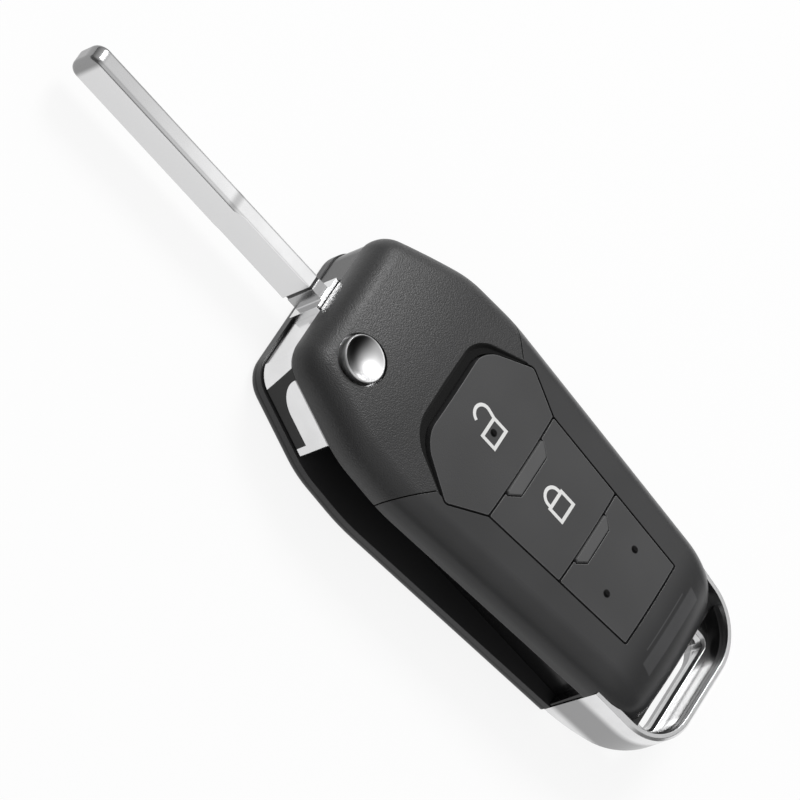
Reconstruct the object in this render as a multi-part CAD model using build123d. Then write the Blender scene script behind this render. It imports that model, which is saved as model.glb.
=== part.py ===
from build123d import *
import os
from math import sqrt

# Flip-blade remote key with the blade swung out, in millimetres.
# x runs across the keypad, y along the case towards the hinge end, z out of the button face.
# The origin lies on the flat back, at the middle of the case.

# Case outline, seen from the button face
CASE_LENGTH = 76.0
HINGE_END_HALF = 12.4
SHOULDER_HALF = 17.5
BELLY_HALF = 18.1
LOOP_END_HALF = 12.8
HINGE_CORNER_R = 4.5
SHOULDER_R = 16.0
BELLY_R = 30.0
LOOP_CORNER_R = 8.5

# Case section
CASE_HEIGHT = 15.3
CROWN_R = 95.0
FACE_EDGE_R = 4.0
BACK_EDGE_R = 1.2
WALL = 1.4
BACK_RIM = 2.6
SEAM_REVEAL = 0.2
FACE_SLOPE_R = 12.9
FACE_ROLL = 80.0
HINGE_SLOPE_R = 70.0
HINGE_ROLL = 20.0
COVER_END_CORNER_R = 6.5
ROOM_INSET = 2.8
SIDE_ROOM_TALL = 2.2
MARGIN = 4.0

# Key-ring loop
LOOP_START_LEAN = 0.7
LOOP_WALL = 0.9
LOOP_SWEEP_R = 22.4
LOOP_LEDGE_TALL = 1.5
LOOP_EDGE = 0.35
LOOP_UNDER_EDGE = 1.4
LOOP_FOOT = 2.3
LOOP_FOOT_TALL = 2.3
LOOP_SEAM = 0.1
RING_SLOT_HALF = 8.7
RING_SLOT_WIDTH = 2.9
RING_SLOT_CORNER_R = 1.2
RING_SLOT_EDGE = 0.4
LINER_WALL = 0.5
LINER_DROP = 0.6

# Hinge and blade carrier
HINGE_X = -7.0
HUB_R = 10.9
HUB_LOW_Z = 2.95
HUB_TOP_GAP = 0.3
HUB_LEFT_IN = 0.85
HUB_END_R = 1.3
HUB_EDGE_R = 0.3
HUB_INSET = 0.25
HUB_POCKET_GAP = 0.4
BARREL_R = 5.2
BARREL_TALL = 3.6
BARREL_DEEP = 1.7
BARREL_WEB = 0.8
BARREL_BORE_R = 4.4
BOSS_WALL = 1.2
BARREL_EDGE = 0.2
POST_R = 2.5
POST_TIP_GAP = 0.3
SPRING_CUP_R = 4.6
SPRING_CUP_TALL = 2.1
RUN_FIT = 0.06
CORE_DEPTH = 1.2
CORE_TALL = 2.0
CORE_BEND_R = 3.9
CORE_LEAN = 1.2

# Blade
BLADE_X = 0.1
BLADE_THICK = 3.0
BLADE_LOW_Z = 3.1
BLADE_TOP_GAP = 0.1
BLADE_TIP_R = 1.9
BLADE_NOSE_R = 0.7
BLADE_EDGE_R = 0.12
BLADE_STEP_OUT = 17.6
BLADE_STEP_RUN = 1.9
BLADE_STEP_CUT = 0.4
BAND_START = 2.3
BAND_WIDTH = 0.6
BAND_DEPTH = 0.35
COLLAR_DEPTH = 0.25
PLATE_LEFT = 2.45
PLATE_RIGHT = 3.3
PLATE_THICK = 0.9
PLATE_PROUD = 0.5
TANG_TALL = 3.6
TANG_LENGTH = 7.0
TANG_FIT = 0.05
PIN_R = 0.75
PIN_BACK = 3.0

# Blade channel
CHANNEL_DEPTH_GAP = 0.4
CHANNEL_TIP_GAP = 1.45
CHANNEL_WALL = 1.2

# Release button
BUTTON_R = 3.3
BUTTON_GAP = 0.35
BUTTON_FLANGE_R = 4.05
BUTTON_FLANGE_TALL = 0.9
BUTTON_DISH_R = 5.5
BUTTON_RIM = 0.3
BUTTON_EDGE = 0.12

# Coil springs
RELEASE_WIRE_R = 0.25
RELEASE_COIL_R = 3.2
RELEASE_TURNS = 2
FLIP_WIRE_R = 0.3
FLIP_COIL_R = 3.5
FLIP_PITCH = 0.65
FLIP_TURNS = 2
WIRE_SIDES = 6

# Keypad outline, seen from the face
PAD_TOP_HALF = 7.4
PAD_SLOPE_HALF = 9.6
PAD_CORNER_HALF = 13.2
PAD_NECK_HALF = 9.6
PAD_SPLIT_HALF = 8.5
PAD_END_HALF = 7.5
PAD_TOP_R = 4.5
PAD_CORNER_R = 1.0
PAD_END_R = 0.3
PAD_GAP = 0.15
PAD_CUT_R = 0.2
PAD_FLANGE = 0.7
PAD_FLANGE_TALL = 0.4
KEY_TALL = 2.8
KEY_TRAVEL = 0.4
KEY_REST_GAP = 0.1
KEY_SIDE_GAP = 0.3
GROOVE_RISE = 1.1
GROOVE_TAPER = 38.0
PIP_R = 0.7
PIP_TOP_R = 0.3
PIP_RISE = 0.25
BLANK_PIP_X = 4.25

# Ridges that stand up between the pads
RIDGE_HALF = 5.2
RIDGE_LONG_HALF = 4.9
RIDGE_SHORT_HALF = 3.7
RIDGE_LOWER_SCALE = 0.86
RIDGE_DROP = 0.05
RIDGE_SIDE_DOWN = 0.5
RIDGE_DOWN = 2.1
RIDGE_PROUD = 0.15
RIDGE_EDGE = 0.15

# Seam between the grained cover and the smooth bezel
SEAM_INNER_HALF = 12.85
SEAM_GAP = 0.2

# Electronics
BOARD_THICK = 0.8
BOARD_LEDGE = 0.9
BOARD_EDGE_GAP = 0.15
POCKET_INSET = 2.0
SWITCH_SIZE = 3.6
SWITCH_TALL = 1.3
SWITCH_CAP_R = 0.9
SWITCH_CAP_TALL = 0.5
MEMBRANE_SHEET = 0.6
MEMBRANE_WALL = 0.9
MEMBRANE_MARGIN = 1.5
PLUNGER_R = 1.3
CELL_R = 10.0
CELL_TALL = 3.2
CELL_X = 1.6
CELL_Y = -8.0
CELL_RIM = 1.2
CELL_RIM_DROP = 0.3
CELL_SEAT_GAP = 0.3
CELL_SEAT_WALL = 0.8
CELL_SEAT_TALL = 2.0
CONTACT_THICK = 0.25
CONTACT_WIDTH = 3.0
CONTACT_LENGTH = 14.0
CHIP_TALL = 0.9
CHIP_EDGE = 0.12
RADIO_CHIP = 5.0
CONTROLLER_CHIP = 6.0
CONTROLLER_CHIP_X = 8.0
CRYSTAL_LENGTH = 3.2
CRYSTAL_WIDTH = 2.5
CRYSTAL_X = 8.0
COIL_LENGTH = 8.0
COIL_WIDTH = 3.4
COIL_TALL = 2.6
COIL_END = 1.2
COIL_DRAW_IN = 0.4
COIL_X = 5.5
TRANSPONDER_LENGTH = 12.0
TRANSPONDER_WIDTH = 3.0
TRANSPONDER_TALL = 2.8
TRANSPONDER_CHAMFER = 1.0
TRANSPONDER_X = -2.0

# Distances in from the hinge end, along the case
SHOULDER_IN = 13.5
BELLY_IN = 22.5
HINGE_SLOPE_IN = 16.0
ROOM_TOP_IN = 14.0
SIDE_ROOM_TOP_IN = 6.0
HINGE_IN = 6.8
HUB_END_IN = 12.4
CORE_LOW_IN = 10.7
CORE_WEDGE_IN = 2.8
CORE_HIGH_IN = 1.4
PAD_TOP_IN = 19.8
PAD_SLOPE_IN = 21.6
PAD_CORNER_IN = 27.6
PAD_NECK_IN = 33.6
UNLOCK_PIP_IN = 27.5
SEAM_OUTER_IN = 21.6
SEAM_INNER_IN = 25.7
POCKET_TOP_IN = 19.7
UNLOCK_SWITCH_IN = 27.0
CONTROLLER_CHIP_IN = 24.5
COIL_IN = 31.0
TRANSPONDER_IN = 23.5

# Distances in from the loop end, along the case
FACE_SLOPE_IN = 15.9
COVER_END_IN = 5.7
ROOM_LOW_IN = 10.7
LOOP_START_IN = 15.0
PAD_SPLIT_IN = 28.95
PAD_END_IN = 16.1
BLANK_PIP_IN = 22.4
POCKET_END_IN = 7.1
RADIO_CHIP_IN = 13.0
CHANNEL_END_IN = 15.1

# Depths below the top of the face
PARTING_DOWN = 6.0
LOOP_LEDGE_DOWN = 7.9
BUTTON_TOP_DOWN = 0.3
BUTTON_SEAT_DOWN = 2.4
GROOVE_FLOOR_DOWN = 1.1
LOOP_START_DOWN = 3.3
LOOP_END_DOWN = 4.8

# Sizes that follow from the ones above
HINGE_END = CASE_LENGTH / 2
LOOP_END = -CASE_LENGTH / 2
SHOULDER_Y = HINGE_END - SHOULDER_IN
BELLY_Y = HINGE_END - BELLY_IN
HINGE_SLOPE_Y = HINGE_END - HINGE_SLOPE_IN
ROOM_TOP_Y = HINGE_END - ROOM_TOP_IN
SIDE_ROOM_TOP_Y = HINGE_END - SIDE_ROOM_TOP_IN
HINGE_Y = HINGE_END - HINGE_IN
HUB_END_Y = HINGE_END - HUB_END_IN
CORE_LOW_Y = HINGE_END - CORE_LOW_IN
CORE_WEDGE_Y = HINGE_END - CORE_WEDGE_IN
CORE_HIGH_Y = HINGE_END - CORE_HIGH_IN
PAD_TOP_Y = HINGE_END - PAD_TOP_IN
PAD_SLOPE_Y = HINGE_END - PAD_SLOPE_IN
PAD_CORNER_Y = HINGE_END - PAD_CORNER_IN
PAD_NECK_Y = HINGE_END - PAD_NECK_IN
UNLOCK_PIP_Y = HINGE_END - UNLOCK_PIP_IN
SEAM_OUTER_Y = HINGE_END - SEAM_OUTER_IN
SEAM_INNER_Y = HINGE_END - SEAM_INNER_IN
POCKET_TOP_Y = HINGE_END - POCKET_TOP_IN
UNLOCK_SWITCH_Y = HINGE_END - UNLOCK_SWITCH_IN
CONTROLLER_CHIP_Y = HINGE_END - CONTROLLER_CHIP_IN
COIL_Y = HINGE_END - COIL_IN
TRANSPONDER_Y = HINGE_END - TRANSPONDER_IN
FACE_SLOPE_Y = LOOP_END + FACE_SLOPE_IN
COVER_END_Y = LOOP_END + COVER_END_IN
ROOM_LOW_Y = LOOP_END + ROOM_LOW_IN
LOOP_START_Y = LOOP_END + LOOP_START_IN
PAD_SPLIT_Y = LOOP_END + PAD_SPLIT_IN
PAD_END_Y = LOOP_END + PAD_END_IN
BLANK_PIP_Y = LOOP_END + BLANK_PIP_IN
POCKET_END_Y = LOOP_END + POCKET_END_IN
RADIO_CHIP_Y = LOOP_END + RADIO_CHIP_IN
PARTING_Z = CASE_HEIGHT - PARTING_DOWN
LOOP_LEDGE_Z = CASE_HEIGHT - LOOP_LEDGE_DOWN
BUTTON_TOP_Z = CASE_HEIGHT - BUTTON_TOP_DOWN
BUTTON_SEAT_Z = CASE_HEIGHT - BUTTON_SEAT_DOWN
GROOVE_FLOOR_Z = CASE_HEIGHT - GROOVE_FLOOR_DOWN
LOOP_TOP_START = CASE_HEIGHT - LOOP_START_DOWN
LOOP_TOP_END = CASE_HEIGHT - LOOP_END_DOWN
REACH = 2 * CASE_LENGTH
SIDE_TAPER = (BELLY_HALF - LOOP_END_HALF) / (BELLY_Y - LOOP_END)
CHANNEL_END_Y = LOOP_END + CHANNEL_END_IN
BLADE_TIP_Y = 2 * HINGE_Y - CHANNEL_END_Y - CHANNEL_TIP_GAP
BLADE_STEP_Y = HINGE_END + BLADE_STEP_OUT
HUB_TOP_Z = PARTING_Z - HUB_TOP_GAP
HUB_LEFT_X = HUB_LEFT_IN - SHOULDER_HALF
BARREL_FLOOR_Z = HUB_TOP_Z - BARREL_DEEP
POST_TOP_Z = BARREL_FLOOR_Z - BARREL_WEB - POST_TIP_GAP
BLADE_TALL = HUB_TOP_Z - BLADE_TOP_GAP - BLADE_LOW_Z
LOCK_SWITCH_Y = (PAD_NECK_Y + PAD_SPLIT_Y) / 2
BLADE_LEFT = BLADE_X - BLADE_THICK / 2
BLADE_RIGHT = BLADE_X + BLADE_THICK / 2
BLADE_TOP_Z = BLADE_LOW_Z + BLADE_TALL
BLADE_MID_Z = BLADE_LOW_Z + BLADE_TALL / 2
CHANNEL_WALL_X = 2 * HINGE_X - BLADE_LEFT + CHANNEL_DEPTH_GAP
PLATE_END_Y = HINGE_END + PLATE_PROUD
KEY_BOTTOM_Z = CASE_HEIGHT - KEY_TALL
FLANGE_TOP_Z = KEY_BOTTOM_Z + PAD_FLANGE_TALL
MEMBRANE_TOP_Z = KEY_BOTTOM_Z - KEY_TRAVEL - KEY_REST_GAP
BOARD_BOTTOM_Z = PARTING_Z - BOARD_THICK
CELL_BOTTOM_Z = WALL + CONTACT_THICK
CELL_TOP_Z = CELL_BOTTOM_Z + CELL_TALL
SLOT_END_Y = COVER_END_Y - RING_SLOT_WIDTH
BOTTOM_OF_BUTTON = BUTTON_SEAT_Z - BUTTON_FLANGE_TALL
SPRING_CUP_Z = HUB_LOW_Z + SPRING_CUP_TALL


def plan(inset=0.0, end_y=LOOP_END, end_corner_r=LOOP_CORNER_R):
    """Case outline as a face, drawn in by inset all round."""
    end_half = BELLY_HALF - SIDE_TAPER * (BELLY_Y - end_y)
    right = [
        (HINGE_END_HALF, HINGE_END),
        (SHOULDER_HALF, SHOULDER_Y),
        (BELLY_HALF, BELLY_Y),
        (end_half, end_y),
    ]
    radii = [HINGE_CORNER_R, SHOULDER_R, BELLY_R, end_corner_r]
    left = [(-x, y) for x, y in reversed(right)]
    outline = FilletPolyline(*right, *left, radius=radii + radii[::-1], close=True)
    face = make_face(outline)
    if inset > 0:
        face = offset(face, -inset, kind=Kind.INTERSECTION)
    return face


def prism(face, low_z, high_z):
    """Straight block over a face between two heights."""
    return extrude(Pos(0, 0, low_z) * face, high_z - low_z)


def block(x0, x1, y0, y1, z0, z1):
    """Box between two corners."""
    centre = Pos((x0 + x1) / 2, (y0 + y1) / 2, (z0 + z1) / 2)
    return centre * Box(x1 - x0, y1 - y0, z1 - z0)


def disc(radius, low_z, high_z, x=HINGE_X, y=HINGE_Y):
    """Upright cylinder, on the hinge axis unless placed elsewhere."""
    return Pos(x, y, (low_z + high_z) / 2) * Cylinder(radius, high_z - low_z)


def cross_cylinder(radius, y, z):
    """Cylinder that runs across the case."""
    return Pos(0, y, z) * Rot(0, 90, 0) * Cylinder(radius, REACH)


def side_profile(*points):
    """Block across the case, with its outline given as points along and above the case."""
    face = make_face(Polyline(*points, close=True))
    return extrude(Plane.YZ * face, REACH / 2, both=True)


def largest(shape):
    """Main solid of a result that may hold several."""
    return shape.solids().sort_by(SortBy.VOLUME)[-1]


def crown_z(x):
    """Height of the crowned face at a distance from the middle line."""
    return CASE_HEIGHT - CROWN_R + sqrt(CROWN_R**2 - x**2)


def sky_section(y):
    """Cross-section of the air above the crowned face, standing at a place along the case."""
    half = BELLY_HALF + MARGIN
    low = crown_z(half)
    sky = CASE_HEIGHT + MARGIN
    crown = ThreePointArc((-half, y, low), (0, y, CASE_HEIGHT), (half, y, low))
    rest = Polyline((half, y, low), (half, y, sky), (-half, y, sky), (-half, y, low))
    return make_face(crown + rest)


def air_above():
    """Air above the crowned face, which rolls down towards both ends."""
    start = sky_section(FACE_SLOPE_Y)
    end = sky_section(HINGE_SLOPE_Y)
    straight = extrude(start, HINGE_SLOPE_Y - FACE_SLOPE_Y, dir=(0, 1, 0))
    pivot = Axis((0, FACE_SLOPE_Y, CASE_HEIGHT - FACE_SLOPE_R), (1, 0, 0))
    hinge_pivot = Axis((0, HINGE_SLOPE_Y, CASE_HEIGHT - HINGE_SLOPE_R), (-1, 0, 0))
    loop_roll = revolve(start, axis=pivot, revolution_arc=FACE_ROLL)
    return straight + loop_roll + revolve(end, axis=hinge_pivot, revolution_arc=HINGE_ROLL)


def face_form():
    """Upper half of the case as a solid, with its soft shoulders."""
    upright = prism(plan(0.0, COVER_END_Y, COVER_END_CORNER_R), 0, CASE_HEIGHT)
    form = largest(upright - air_above())
    edges = ShapeList()
    for face in form.faces():
        if face.normal_at().Z > 0.3:
            edges += face.edges()
    rim = [edge for edge in edges if sum(other.is_same(edge) for other in edges) == 1]
    return fillet(rim, FACE_EDGE_R) & block(-REACH, REACH, -REACH, REACH, PARTING_Z, REACH)


def under_sweep(lift=0.0):
    """Air under the loop end, where the underside sweeps up, raised by lift."""
    low = block(-REACH, REACH, -REACH, LOOP_START_Y, -REACH, LOOP_SWEEP_R)
    return low - cross_cylinder(LOOP_SWEEP_R - lift, LOOP_START_Y, LOOP_SWEEP_R)


def loop_space(gap=0.0):
    """Space beside and below the arms' top edge, from their start to past the loop end."""
    return side_profile(
        (LOOP_START_Y + gap, -MARGIN),
        (LOOP_START_Y - LOOP_START_LEAN + gap, LOOP_TOP_START + gap),
        (LOOP_END - MARGIN, LOOP_TOP_END + gap),
        (LOOP_END - MARGIN, -MARGIN),
    )


def foot_space():
    """Lower inner part of the arms, where the loop is thicker and its underside is bevelled."""
    return under_sweep(LOOP_FOOT_TALL) - prism(plan(LOOP_FOOT), -MARGIN, REACH)


def tail_form():
    """End of the case that lies between the arms, from the cover's end to the arms' start."""
    face = band(plan(LOOP_WALL), COVER_END_Y, LOOP_START_Y + LOOP_SEAM)
    return prism(face, 0, PARTING_Z) - foot_space()


def arm_space(gap=0.0):
    """Part of the loop space that lies outside the arms' inner face."""
    return loop_space(gap) - prism(plan(LOOP_WALL), -MARGIN, REACH)


def pad_outline(grow=0.0, rise=0.0):
    """Outline of the whole keypad as a face, grown by a margin, its upper end raised."""
    right = [
        (PAD_TOP_HALF, PAD_TOP_Y + rise),
        (PAD_SLOPE_HALF, PAD_SLOPE_Y + rise),
        (PAD_CORNER_HALF, PAD_CORNER_Y),
        (PAD_NECK_HALF, PAD_NECK_Y),
        (PAD_SPLIT_HALF, PAD_SPLIT_Y),
        (PAD_END_HALF, PAD_END_Y),
    ]
    radii = [PAD_TOP_R, PAD_TOP_R, PAD_CORNER_R, 0, 0, PAD_END_R]
    left = [(-x, y) for x, y in reversed(right)]
    outline = FilletPolyline(*right, *left, radius=radii + radii[::-1], close=True)
    face = make_face(outline)
    if grow != 0:
        face = offset(face, grow, kind=Kind.INTERSECTION)
    return face


def ridge_face(y, scale, grow=0.0):
    """Outline of one ridge on the line between two pads."""
    points = [
        (-RIDGE_LONG_HALF * scale, y - RIDGE_DROP),
        (RIDGE_LONG_HALF * scale, y - RIDGE_DROP),
        (RIDGE_HALF * scale, y - RIDGE_SIDE_DOWN),
        (RIDGE_SHORT_HALF * scale, y - RIDGE_DOWN * scale),
        (-RIDGE_SHORT_HALF * scale, y - RIDGE_DOWN * scale),
        (-RIDGE_HALF * scale, y - RIDGE_SIDE_DOWN),
    ]
    face = make_face(Polyline(*points, close=True))
    if grow > 0:
        face = offset(face, grow, kind=Kind.INTERSECTION)
    return face


def band(face, low_y, high_y):
    """Part of a face between two lines across the case."""
    strip = Pos(0, (low_y + high_y) / 2) * Rectangle(REACH, high_y - low_y)
    return face & strip


def pocket_face(inset):
    """Room for the electronics inside the frame."""
    left = CHANNEL_WALL_X + CHANNEL_WALL + inset
    room = Pos((left + BELLY_HALF) / 2, (POCKET_END_Y + POCKET_TOP_Y) / 2)
    room = room * Rectangle(BELLY_HALF - left, POCKET_TOP_Y - POCKET_END_Y - 2 * inset)
    return plan(POCKET_INSET + inset) & room


def hub_face(inset=0.0):
    """Outline of the blade carrier: case outline and hinge circle, cut square below."""
    circle = Pos(HINGE_X, HINGE_Y) * Circle(HUB_R - inset)
    corner = Pos(HUB_LEFT_X + inset, HUB_END_Y + inset)
    upper = corner * Rectangle(REACH, REACH, align=(Align.MIN, Align.MIN))
    soft = upper.vertices().group_by(Axis.Y)[0].sort_by(Axis.X)[0]
    return plan(HUB_INSET + inset) & circle & fillet(soft, HUB_END_R)


def coil(radius, wire_r, pitch, turns, low_z):
    """Round-wire coil about the hinge axis, standing on its lower end."""
    path = Helix(pitch, pitch * turns, radius, center=(HINGE_X, HINGE_Y, low_z + wire_r))
    start = path.position_at(0)
    section = Plane(start, z_dir=path.tangent_at(0)) * RegularPolygon(wire_r, WIRE_SIDES)
    return sweep(section, path, is_frenet=True)


def back_cover():
    """Flat back with its rim, the hinge post and the seat of the cell."""
    slab = prism(plan(), 0, BACK_RIM)
    slab = fillet(slab.edges().group_by(Axis.Z)[0], BACK_EDGE_R)
    slab = slab - loop_space(LOOP_SEAM)
    tail = tail_form() & (under_sweep(WALL) - under_sweep())
    joint = prism(band(plan(LOOP_WALL), LOOP_START_Y, LOOP_START_Y + MARGIN), 0, WALL)
    cover = slab + tail + joint
    cover = cover - prism(pocket_face(BOARD_LEDGE), WALL, PARTING_Z)
    seat_r = CELL_R + CELL_SEAT_GAP
    seat = disc(seat_r + CELL_SEAT_WALL, WALL, WALL + CELL_SEAT_TALL, CELL_X, CELL_Y)
    seat = seat - disc(seat_r, WALL, PARTING_Z, CELL_X, CELL_Y)
    post = disc(POST_R, BACK_RIM, POST_TOP_Z)
    post = chamfer(post.edges().group_by(Axis.Z)[-1], SEAM_REVEAL)
    return largest(cover + seat + post)


def chassis():
    """Black middle frame with the blade channel, the hinge room and the loop's lining."""
    frame = prism(plan(SEAM_REVEAL), BACK_RIM, PARTING_Z) - loop_space(LOOP_SEAM)
    frame = frame + (tail_form() - under_sweep(WALL) - prism(plan(), -MARGIN, WALL))
    frame = frame - disc(HUB_R + HUB_POCKET_GAP, 0, REACH)
    channel = block(-REACH, CHANNEL_WALL_X, CHANNEL_END_Y, HINGE_Y, 0, REACH)
    frame = frame - channel - prism(pocket_face(BOARD_LEDGE), 0, REACH)
    frame = frame - prism(pocket_face(0.0), BOARD_BOTTOM_Z, REACH)
    mouth = block(-REACH, BLADE_X + PLATE_RIGHT + HUB_POCKET_GAP, HINGE_Y, REACH, 0, REACH)
    below = block(-REACH, REACH, LOOP_START_Y - LOOP_START_LEAN, REACH, 0, BACK_RIM)
    frame = largest(frame - mouth - below)
    lining = plan(LOOP_WALL) - plan(LOOP_WALL + LINER_WALL)
    lining = prism(band(lining, LOOP_END, COVER_END_Y + MARGIN), LOOP_LEDGE_Z, PARTING_Z)
    step = LOOP_TOP_END - LINER_DROP - PARTING_Z
    raised = band(plan(LOOP_WALL) - plan(LOOP_WALL + LINER_WALL), LOOP_END, COVER_END_Y)
    return largest(frame + lining + prism(raised, PARTING_Z, PARTING_Z + step))


def chrome_loop():
    """Metal key-ring loop: two arms, a rim and the ledge with the ring slot."""
    loop = (prism(plan(), 0, CASE_HEIGHT) & loop_space()) - under_sweep()
    top = loop.faces().sort_by(Axis.Z)[-1]
    loop = chamfer(top.edges().sort_by(Axis.Y)[:-1], LOOP_EDGE)
    bottom = loop.faces().sort_by(Axis.Z)[0]
    loop = chamfer(bottom.edges().sort_by(Axis.Y)[:-1], LOOP_UNDER_EDGE)
    loop = loop - prism(plan(LOOP_WALL), LOOP_LEDGE_Z, CASE_HEIGHT)
    inside = band(plan(LOOP_WALL), COVER_END_Y, HINGE_END)
    loop = loop - (prism(inside, -MARGIN, CASE_HEIGHT) - foot_space())
    under = band(plan(LOOP_WALL), LOOP_END, COVER_END_Y)
    loop = loop - (prism(under, -MARGIN, LOOP_LEDGE_Z - LOOP_LEDGE_TALL) - foot_space())
    slot = Pos(0, (SLOT_END_Y + COVER_END_Y) / 2) * Rectangle(2 * RING_SLOT_HALF, RING_SLOT_WIDTH)
    slot = fillet(slot.vertices().group_by(Axis.Y)[0], RING_SLOT_CORNER_R)
    loop = largest(loop - prism(slot, -MARGIN, CASE_HEIGHT))
    fine = LOOP_SEAM / 2
    level = loop.edges().filter_by_position(Axis.Z, LOOP_LEDGE_Z - fine, LOOP_LEDGE_Z + fine)
    level = level.filter_by_position(Axis.X, -RING_SLOT_HALF - fine, RING_SLOT_HALF + fine)
    rim = level.filter_by_position(Axis.Y, SLOT_END_Y - fine, COVER_END_Y - fine)
    return chamfer(rim, RING_SLOT_EDGE)


def room_part(low_x, low_y, high_y, high_z):
    """Part of the room inside the upper half, from a line beside the middle to the wall."""
    centre = Pos((low_x + BELLY_HALF) / 2, (low_y + high_y) / 2)
    area = centre * Rectangle(BELLY_HALF - low_x, high_y - low_y)
    return prism(plan(ROOM_INSET) & area, 0, high_z)


def front_shell():
    """Upper half of the case in one piece, with every opening cut."""
    beside = HINGE_X + BARREL_R + RUN_FIT + BOSS_WALL
    shell = face_form() - room_part(CHANNEL_WALL_X, ROOM_LOW_Y, ROOM_TOP_Y, BUTTON_SEAT_Z)
    shell = shell - room_part(beside, ROOM_LOW_Y, SIDE_ROOM_TOP_Y, PARTING_Z + SIDE_ROOM_TALL)
    shell = shell - disc(BARREL_R + RUN_FIT, 0, BUTTON_SEAT_Z)
    shell = shell - disc(BUTTON_R + BUTTON_GAP, 0, REACH)
    shell = shell - prism(pad_outline(PAD_GAP), MEMBRANE_TOP_Z - MEMBRANE_SHEET, REACH)
    flange_room = pad_outline(PAD_FLANGE + KEY_SIDE_GAP)
    shell = shell - prism(flange_room, MEMBRANE_TOP_Z - MEMBRANE_SHEET, FLANGE_TOP_Z)
    return shell - arm_space(LOOP_SEAM)


def cover_side(shift=0.0):
    """Region on the hinge side of the seam, moved along the case by shift."""
    slope = (SEAM_OUTER_Y - SEAM_INNER_Y) / (BELLY_HALF - SEAM_INNER_HALF)
    far = SEAM_INNER_Y + slope * (BELLY_HALF + MARGIN - SEAM_INNER_HALF)
    half = BELLY_HALF + MARGIN
    points = [
        (-half, far + shift),
        (-SEAM_INNER_HALF, SEAM_INNER_Y + shift),
        (-SEAM_INNER_HALF, PAD_CORNER_Y + shift),
        (SEAM_INNER_HALF, PAD_CORNER_Y + shift),
        (SEAM_INNER_HALF, SEAM_INNER_Y + shift),
        (half, far + shift),
        (half, REACH),
        (-half, REACH),
    ]
    return prism(make_face(Polyline(*points, close=True)), 0, REACH)


def front_cover(shell):
    """Grained upper cover over the hinge, with the groove round the unlock pad."""
    floor = Pos(0, 0, GROOVE_FLOOR_Z) * pad_outline(PAD_GAP, GROOVE_RISE)
    groove = extrude(floor, CASE_HEIGHT - GROOVE_FLOOR_Z, taper=-GROOVE_TAPER)
    groove = groove & block(-REACH, REACH, PAD_CORNER_Y, REACH, 0, REACH)
    return largest((shell & cover_side(SEAM_GAP)) - groove)


def keypad_bezel(shell):
    """Smooth lower cover round the keypad."""
    return largest(shell - cover_side())


def pad(low_y, high_y, bottom_z):
    """One pad of the keypad between two lines, its top following the crowned face."""
    face = band(pad_outline(-PAD_GAP), low_y + PAD_GAP, high_y - PAD_GAP)
    face = face - ridge_face(PAD_NECK_Y, 1.0, PAD_GAP)
    face = face - ridge_face(PAD_SPLIT_Y, RIDGE_LOWER_SCALE, PAD_GAP)
    cuts = (low_y + PAD_GAP, high_y - PAD_GAP)
    corners = [spot for spot in face.vertices() if min(abs(spot.Y - y) for y in cuts) < PAD_GAP / 2]
    face = fillet(corners, PAD_CUT_R)
    return largest(prism(face, bottom_z, CASE_HEIGHT) - air_above())


def pad_flange(low_y, high_y):
    """Thin edge under a pad that holds it below the cover."""
    face = band(pad_outline(PAD_FLANGE), low_y + PAD_GAP, high_y - PAD_GAP)
    face = face - ridge_face(PAD_NECK_Y, 1.0, PAD_GAP)
    face = face - ridge_face(PAD_SPLIT_Y, RIDGE_LOWER_SCALE, PAD_GAP)
    return prism(face, KEY_BOTTOM_Z, FLANGE_TOP_Z)


def pip(x, y):
    """Small raised dot for the finger."""
    return Pos(x, y, crown_z(x)) * Cone(PIP_R, PIP_TOP_R, 2 * PIP_RISE)


def unlock_button():
    """Large upper pad with its pip."""
    top = 2 * PAD_TOP_Y
    key = pad(PAD_NECK_Y, top, KEY_BOTTOM_Z) + pad_flange(PAD_NECK_Y, top)
    return key + pip(0, UNLOCK_PIP_Y)


def lock_button():
    """Middle pad."""
    return pad(PAD_SPLIT_Y, PAD_NECK_Y, KEY_BOTTOM_Z) + pad_flange(PAD_SPLIT_Y, PAD_NECK_Y)


def blank_pad():
    """Lowest pad, which rests on the membrane and has two pips."""
    low = 2 * PAD_END_Y
    key = pad(low, PAD_SPLIT_Y, MEMBRANE_TOP_Z) + pad_flange(low, PAD_SPLIT_Y)
    return key + pip(-BLANK_PIP_X, BLANK_PIP_Y) + pip(BLANK_PIP_X, BLANK_PIP_Y)


def keypad_membrane():
    """Rubber sheet under the pads: a skirt on the board and two ridges between the pads."""
    right_side = Pos(CHANNEL_WALL_X + KEY_SIDE_GAP + REACH / 2, 0) * Rectangle(REACH, REACH)
    outer = pad_outline(MEMBRANE_MARGIN) & right_side
    inner = offset(outer, -MEMBRANE_WALL, kind=Kind.INTERSECTION)
    sheet_z = MEMBRANE_TOP_Z - MEMBRANE_SHEET
    sheet = prism(outer, PARTING_Z, MEMBRANE_TOP_Z) - prism(inner, PARTING_Z, sheet_z)
    for y, scale in ((PAD_NECK_Y, 1.0), (PAD_SPLIT_Y, RIDGE_LOWER_SCALE)):
        ridge = prism(ridge_face(y, scale), sheet_z, CASE_HEIGHT + RIDGE_PROUD)
        sheet = sheet + chamfer(ridge.edges().group_by(Axis.Z)[-1], RIDGE_EDGE)
    switch_top = PARTING_Z + SWITCH_TALL + SWITCH_CAP_TALL
    for y in (UNLOCK_SWITCH_Y, LOCK_SWITCH_Y):
        sheet = sheet + disc(PLUNGER_R, switch_top, MEMBRANE_TOP_Z, 0, y)
    return sheet


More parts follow.
